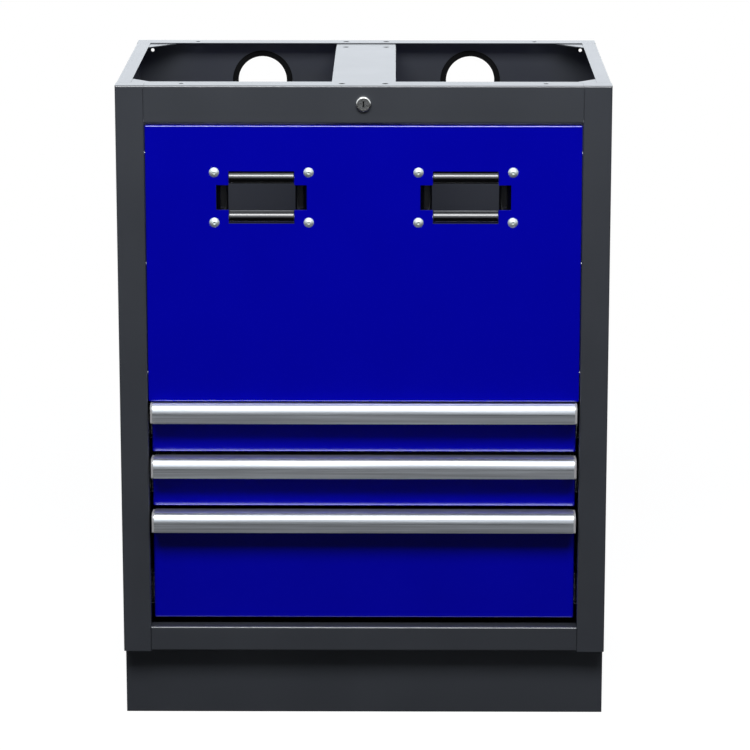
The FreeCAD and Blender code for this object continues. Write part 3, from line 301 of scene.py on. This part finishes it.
def make_keyway_wafers_and_painted_shade():
    plug_low, plug_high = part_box("lock_plug")
    middle = (plug_low + plug_high) / 2
    half_width = KEYWAY_HALF_WIDTH - PAINTED_SHADE_CLEARANCE
    half_height = KEYWAY_HALF_HEIGHT - PAINTED_SHADE_CLEARANCE
    left, right = middle.x - half_width, middle.x + half_width
    bottom, top = middle.z - half_height, middle.z + half_height
    mouth = plug_low.y + PAINTED_SHADE_LINING
    floor = plug_low.y + KEYWAY_DEPTH - PAINTED_SHADE_CLEARANCE
    mesh = bmesh.new()
    # The back and four walls below are thin dark sheets in the keyway: painted shade where the keyway is
    # only in shadow
    add_block(mesh, (left, floor - PAINTED_SHADE_LINING, bottom), (right, floor, top))
    add_block(mesh, (left, mouth, bottom), (left + PAINTED_SHADE_LINING, floor, top))
    add_block(mesh, (left, mouth, bottom), (right, floor, bottom + PAINTED_SHADE_LINING))
    add_block(mesh, (right - PAINTED_SHADE_LINING, mouth, bottom), (right, floor, top))
    add_block(mesh, (left, mouth, top - PAINTED_SHADE_LINING), (right, floor, top))
    # The wafers are real lock parts, but their dark finish is painted shade
    pitch = (floor - mouth) / (len(WAFER_HEIGHTS) + 1)
    for place, height in enumerate(WAFER_HEIGHTS, start=1):
        front = mouth + place * pitch
        add_block(mesh, (left, front, bottom), (right, front + WAFER_THICKNESS, bottom + height))
    # blackened_steel makes the lining and the wafers dark, which paints the keyway's shade
    mesh_object("keyway_wafers_and_painted_shade", mesh, "blackened_steel", "lock_cylinder")


make_keyway_wafers_and_painted_shade()


# Stage: a pale floor that keeps a faint shadow

FLOOR_RADIUS = 1.9
FLOOR_SIDES = 96
FLOOR_GREY = 0.14
FLOOR_GLOW = 0.93
FLOOR_MIRRORED = 0.012


def seen_directly(graph, rays):
    return graph.math("MAXIMUM", rays["Is Camera Ray"], rays["Is Transmission Ray"])


def floor_material():
    material = bpy.data.materials.new("studio_floor")
    graph = Graph(material)
    rays = graph.add("ShaderNodeLightPath").outputs
    seen = seen_directly(graph, rays)
    glow = graph.add("ShaderNodeEmission", Strength=graph.math("MULTIPLY", seen, FLOOR_GLOW))
    diffuse = graph.add("ShaderNodeBsdfDiffuse", Color=opaque(grey(FLOOR_GREY)))
    lit = graph.add("ShaderNodeAddShader")
    graph.set(lit, 0, glow.outputs[0])
    graph.set(lit, 1, diffuse.outputs[0])
    dim = graph.add("ShaderNodeEmission", Strength=FLOOR_MIRRORED)
    both = graph.add("ShaderNodeMixShader")
    graph.set(both, 0, rays["Is Glossy Ray"])
    graph.set(both, 1, lit.outputs[0])
    graph.set(both, 2, dim.outputs[0])
    graph.add("ShaderNodeOutputMaterial", Surface=both.outputs[0])
    return material


def make_floor():
    bpy.ops.mesh.primitive_circle_add(vertices=FLOOR_SIDES, radius=FLOOR_RADIUS, fill_type="NGON")
    floor = bpy.context.object
    floor.name = "studio_floor"
    floor.data.materials.append(floor_material())


make_floor()


# Light: a white wall behind, a dim room in front, and one large soft lamp above the front

WHITE = (1.0, 1.0, 1.0)
LIGHT_TINT = (0.89, 0.94, 1.0)

# What a matt surface gets from the front and the rear
FRONT_LIGHT = 0.05
REAR_LIGHT = 0.65

# What a glossy surface mirrors: dark floor and softbox in front, white wall behind
FRONT_DARK = 0.012
SOFTBOX = 1.5
WALL_FOOT = 0.3
WHITE_WALL = 1.2

# Where these turn into each other, by the depth or height of a ray's direction
LIGHT_TURN_DEPTH = (-0.2, 0.5)
MIRROR_TURN_DEPTH = (-0.15, 0.25)
SOFTBOX_EDGE_HEIGHT = (-0.03, 0.04)
WALL_EDGE_HEIGHT = (-0.10, 0.0)


def make_world():
    world = bpy.data.worlds.new("studio")
    scene.world = world
    graph = Graph(world)
    rays = graph.add("ShaderNodeLightPath").outputs
    direction = graph.add("ShaderNodeTexCoord").outputs["Generated"]
    parts = graph.add("ShaderNodeSeparateXYZ", Vector=direction).outputs
    front = graph.remap(parts["Z"], SOFTBOX_EDGE_HEIGHT, (FRONT_DARK, SOFTBOX))
    rear = graph.remap(parts["Z"], WALL_EDGE_HEIGHT, (WALL_FOOT, WHITE_WALL))
    behind = graph.remap(parts["Y"], MIRROR_TURN_DEPTH, (0.0, 1.0))
    mirrored = graph.share(behind, front, rear)
    lighting = graph.remap(parts["Y"], LIGHT_TURN_DEPTH, (FRONT_LIGHT, REAR_LIGHT))
    seen = seen_directly(graph, rays)
    on_surfaces = graph.share(rays["Is Glossy Ray"], lighting, mirrored)
    background = graph.add(
        "ShaderNodeBackground",
        Color=graph.mix(seen, LIGHT_TINT, WHITE),
        Strength=graph.share(seen, on_surfaces, 1.0),
    )
    graph.add("ShaderNodeOutputWorld", Surface=background.outputs[0])


def make_lamp(name, location, target, size, power):
    lamp = bpy.data.lights.new(name, "AREA")
    lamp.shape = "RECTANGLE"
    lamp.size, lamp.size_y = size
    lamp.energy = power
    holder = bpy.data.objects.new(name, lamp)
    scene.collection.objects.link(holder)
    holder.location = location
    holder.rotation_euler = (Vector(target) - Vector(location)).to_track_quat("-Z", "Y").to_euler()
    holder.visible_camera = False


make_world()
make_lamp("key_lamp", location=(0.0, -2.5, 2.9), target=(0.0, 0.0, 0.5), size=(2.6, 1.1), power=118.0)


# Camera

# The photograph's keystone was corrected, so its own viewpoint needs a large lens shift.
# This camera has no shift: it is the one that comes nearest to the photograph without it.
IMAGE_SIDE = 750
CAMERA_X = 0.046
CAMERA_DISTANCE = 4.722
CAMERA_HEIGHT = 1.620
CAMERA_PITCH = math.radians(13.29)
CAMERA_YAW = math.radians(0.367)
FOCAL_PIXELS = 3488.6
SENSOR_WIDTH = 36.0
CLIP_START = 0.1
CLIP_END = 50.0


def make_camera():
    lens = bpy.data.cameras.new("camera")
    lens.sensor_width = SENSOR_WIDTH
    lens.lens = SENSOR_WIDTH * FOCAL_PIXELS / IMAGE_SIDE
    lens.clip_start = CLIP_START
    lens.clip_end = CLIP_END
    camera = bpy.data.objects.new("camera", lens)
    scene.collection.objects.link(camera)
    scene.camera = camera
    front_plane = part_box("side_panel_left")[0].y
    camera.location = (CAMERA_X, front_plane - CAMERA_DISTANCE, CAMERA_HEIGHT)
    camera.rotation_euler = Euler((math.pi / 2 - CAMERA_PITCH, 0.0, CAMERA_YAW))


make_camera()
scene.view_settings.view_transform = "Standard"
